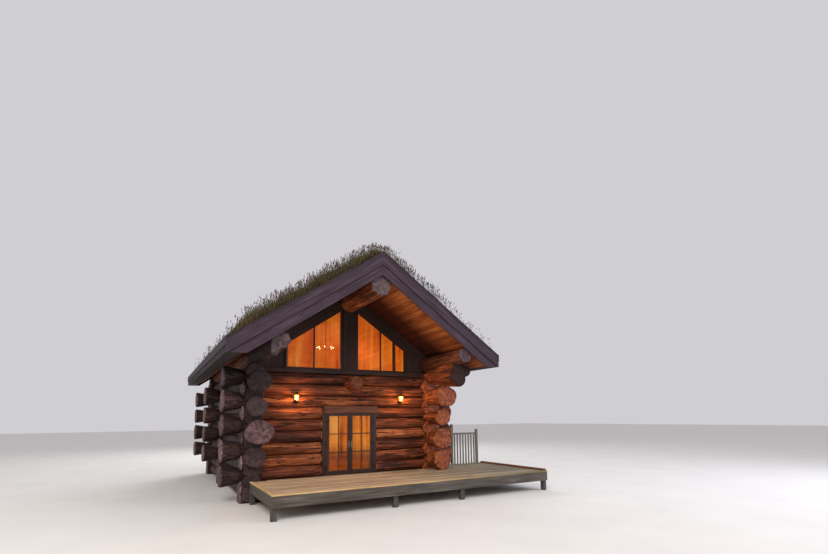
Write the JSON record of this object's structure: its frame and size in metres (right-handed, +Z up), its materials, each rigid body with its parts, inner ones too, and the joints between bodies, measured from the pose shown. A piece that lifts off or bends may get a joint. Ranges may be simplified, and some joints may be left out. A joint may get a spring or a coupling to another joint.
{
  "type": "log cabin",
  "caption": "Log cabin with scribed log walls, flared log ends, a turf roof on deep barge boards, a glazed front gable, double glass doors and a timber deck.",
  "frame": {"origin": "on the ground under the middle of the doorway, in the centre plane of the front log wall", "axes": "+X to the right as one faces the door, +Y back along the ridge, +Z up"},
  "size_m": [10.839, 14.307, 8],
  "materials": {
    "wall_logs": "weathered oiled softwood logs",
    "barge_boards": "grey weathered stain",
    "ceiling_planks": "orange-brown oiled planks",
    "roof_build_up": "closed timber boxing",
    "turf": "rough earth and dry meadow grass",
    "window_glass": "clear double glazing",
    "dark_metal": "black lacquered iron",
    "handle_metal": "satin",
    "dark_joinery": "near-black brown stain",
    "floor_boards": "oiled boards",
    "deck_timber": "weathered grey-tan softwood"
  },
  "bodies": {
    "root": {"balustrade": "deck_timber", "chandelier": "dark_metal", "deck_boards": "deck_timber", "deck_frame": "deck_timber", "deck_kerb": "deck_timber", "deck_posts": "deck_timber", "door_frame": "dark_joinery", "door_hinges_left": "dark_metal", "door_hinges_right": "dark_metal", "eave_boards": "barge_boards", "floor": "floor_boards", "front_wall_left": "wall_logs", "front_wall_lower": "wall_logs", "front_wall_right": "wall_logs", "front_wall_upper": "wall_logs", "gable_glass_left": "window_glass", "gable_glass_right": "window_glass", "gable_headers": "dark_joinery", "gable_post": "dark_joinery", "gable_side_panels": "dark_joinery", "gable_sill": "dark_joinery", "gable_window_left": "dark_joinery", "gable_window_right": "dark_joinery", "girder_log": "wall_logs", "left_wall": "wall_logs", "lower_barge_boards_front": "barge_boards", "lower_barge_boards_rear": "barge_boards", "plate_log_left": "wall_logs", "plate_log_right": "wall_logs", "rear_gable": "wall_logs", "rear_wall": "wall_logs", "ridge_log": "wall_logs", "right_wall": "wall_logs", "roof_build_up": "roof_build_up", "roof_planks": "ceiling_planks", "stub_wall_logs": "wall_logs", "turf_left": "turf", "turf_right": "turf", "upper_barge_boards_front": "barge_boards", "upper_barge_boards_rear": "barge_boards", "wall_lantern_left": "dark_metal", "wall_lantern_right": "dark_metal"},
    "door_left": {"door_glass_left": "window_glass", "door_handle_left": "handle_metal", "door_leaf_left": "dark_joinery"},
    "door_right": {"door_glass_right": "window_glass", "door_handle_right": "handle_metal", "door_leaf_right": "dark_joinery"}
  },
  "joints": [
    {"name": "left_door_hinge", "type": "hinge", "parent": "root", "child": "door_left", "pos_m": [-0.869, -0.243, 0], "axis": [0, 0, -1], "range_deg": [0, 100]},
    {"name": "right_door_hinge", "type": "hinge", "parent": "root", "child": "door_right", "pos_m": [0.869, -0.243, 0], "axis": [0, 0, 1], "range_deg": [0, 100]}
  ]
}
